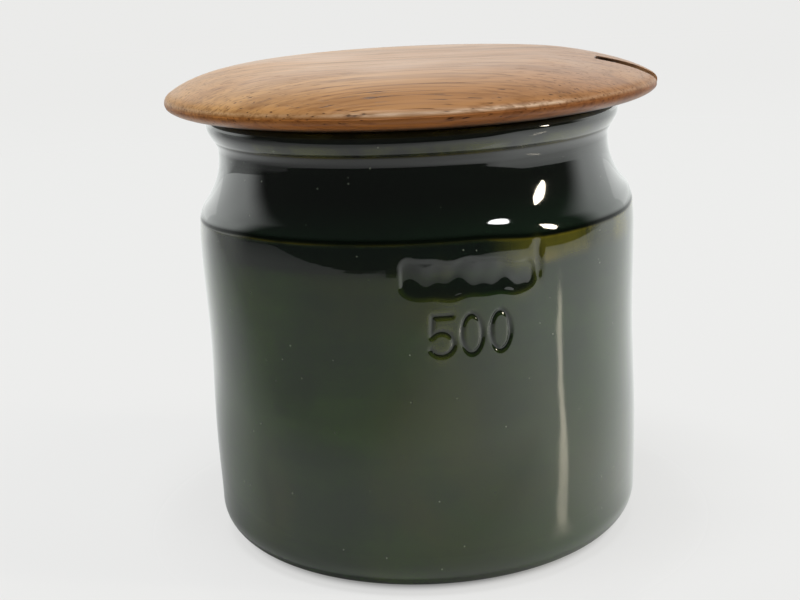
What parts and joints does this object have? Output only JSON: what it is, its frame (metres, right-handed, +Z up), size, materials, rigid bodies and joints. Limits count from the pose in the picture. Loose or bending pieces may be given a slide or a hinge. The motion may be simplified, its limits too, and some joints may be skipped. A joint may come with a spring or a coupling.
{
  "type": "butter crock",
  "caption": "Glazed stoneware crock with a rounded shoulder, narrowed neck and flared lip, closed by a loose domed wooden lid with a slot for a butter knife.",
  "frame": {"origin": "centre of the foot, on the surface that the crock stands on", "axes": "+Z up along the crock's axis, +X towards the lid's knife slot"},
  "size_m": [0.1141, 0.1142, 0.1124],
  "materials": {
    "green_glaze": "glossy dark bottle-green glaze, thinning to olive and amber on edges",
    "teak": "oiled turned teak with fine open pores, satin"
  },
  "bodies": {
    "crock": {"crock": "green_glaze"},
    "lid": {"lid": "teak"}
  },
  "joints": [
    {"name": "lid_lift", "type": "slide", "parent": "crock", "child": "lid", "axis": [0, 0, 1], "range_m": [0, 0.08]}
  ]
}
